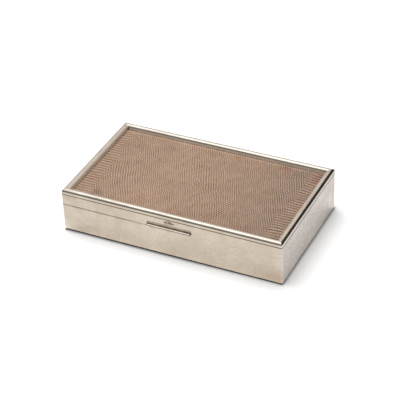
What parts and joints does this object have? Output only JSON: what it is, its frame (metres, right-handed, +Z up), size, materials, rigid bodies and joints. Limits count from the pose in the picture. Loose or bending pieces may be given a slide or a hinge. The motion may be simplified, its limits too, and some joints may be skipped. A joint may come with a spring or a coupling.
{
  "type": "games box",
  "caption": "Low rectangular silver-plated games box with a hinged lid, a framed lizard-leather top panel, a thumb bar and a divided wood-lined inside.",
  "frame": {"origin": "centre of the flat underside of the base felt, on the surface that the box rests on, midway between the metal sides", "axes": "+X along the length to the right, +Y from the front with the thumb bar to the hinge at the back, +Z up"},
  "size_m": [0.2, 0.1186, 0.0404],
  "materials": {
    "silver_plate": "polished silver plate with a cloudy tarnish and fine wear scratches",
    "liner_wood": "satin hardwood",
    "board_wood": "plain plywood",
    "brass_fittings": "dull brass",
    "lizard_leather": "glazed lizard skin with small raised scales",
    "card": "plain card",
    "base_felt": "dense dark felt",
    "suede_lining": "fine suede"
  },
  "bodies": {
    "case": {"base_felt": "base_felt", "base_board": "board_wood", "base_screws": "brass_fittings", "case_band": "silver_plate", "case_liner_front": "liner_wood", "case_liner_back": "liner_wood", "case_liner_left": "liner_wood", "case_liner_right": "liner_wood", "floor_lining": "suede_lining", "long_divider": "liner_wood", "cross_divider_left": "liner_wood", "cross_divider_right": "liner_wood", "hinge_leaf_lower": "brass_fittings", "hinge_pin": "brass_fittings", "hinge_screws_lower": "brass_fittings"},
    "lid": {"lid_band": "silver_plate", "frame_front": "silver_plate", "frame_back": "silver_plate", "frame_left": "silver_plate", "frame_right": "silver_plate", "lizard_panel": "lizard_leather", "panel_card": "card", "panel_board": "board_wood", "lid_liner_front": "liner_wood", "lid_liner_back": "liner_wood", "lid_liner_left": "liner_wood", "lid_liner_right": "liner_wood", "lid_lining": "suede_lining", "thumb_bar": "silver_plate", "thumb_ornament": "silver_plate", "hinge_leaf_upper": "brass_fittings", "hinge_screws_upper": "brass_fittings"}
  },
  "joints": [
    {"name": "lid_hinge", "type": "hinge", "parent": "case", "child": "lid", "pos_m": [0, 0.0576, 0.0262], "axis": [-1, 0, 0], "range_deg": [0, 98]}
  ]
}
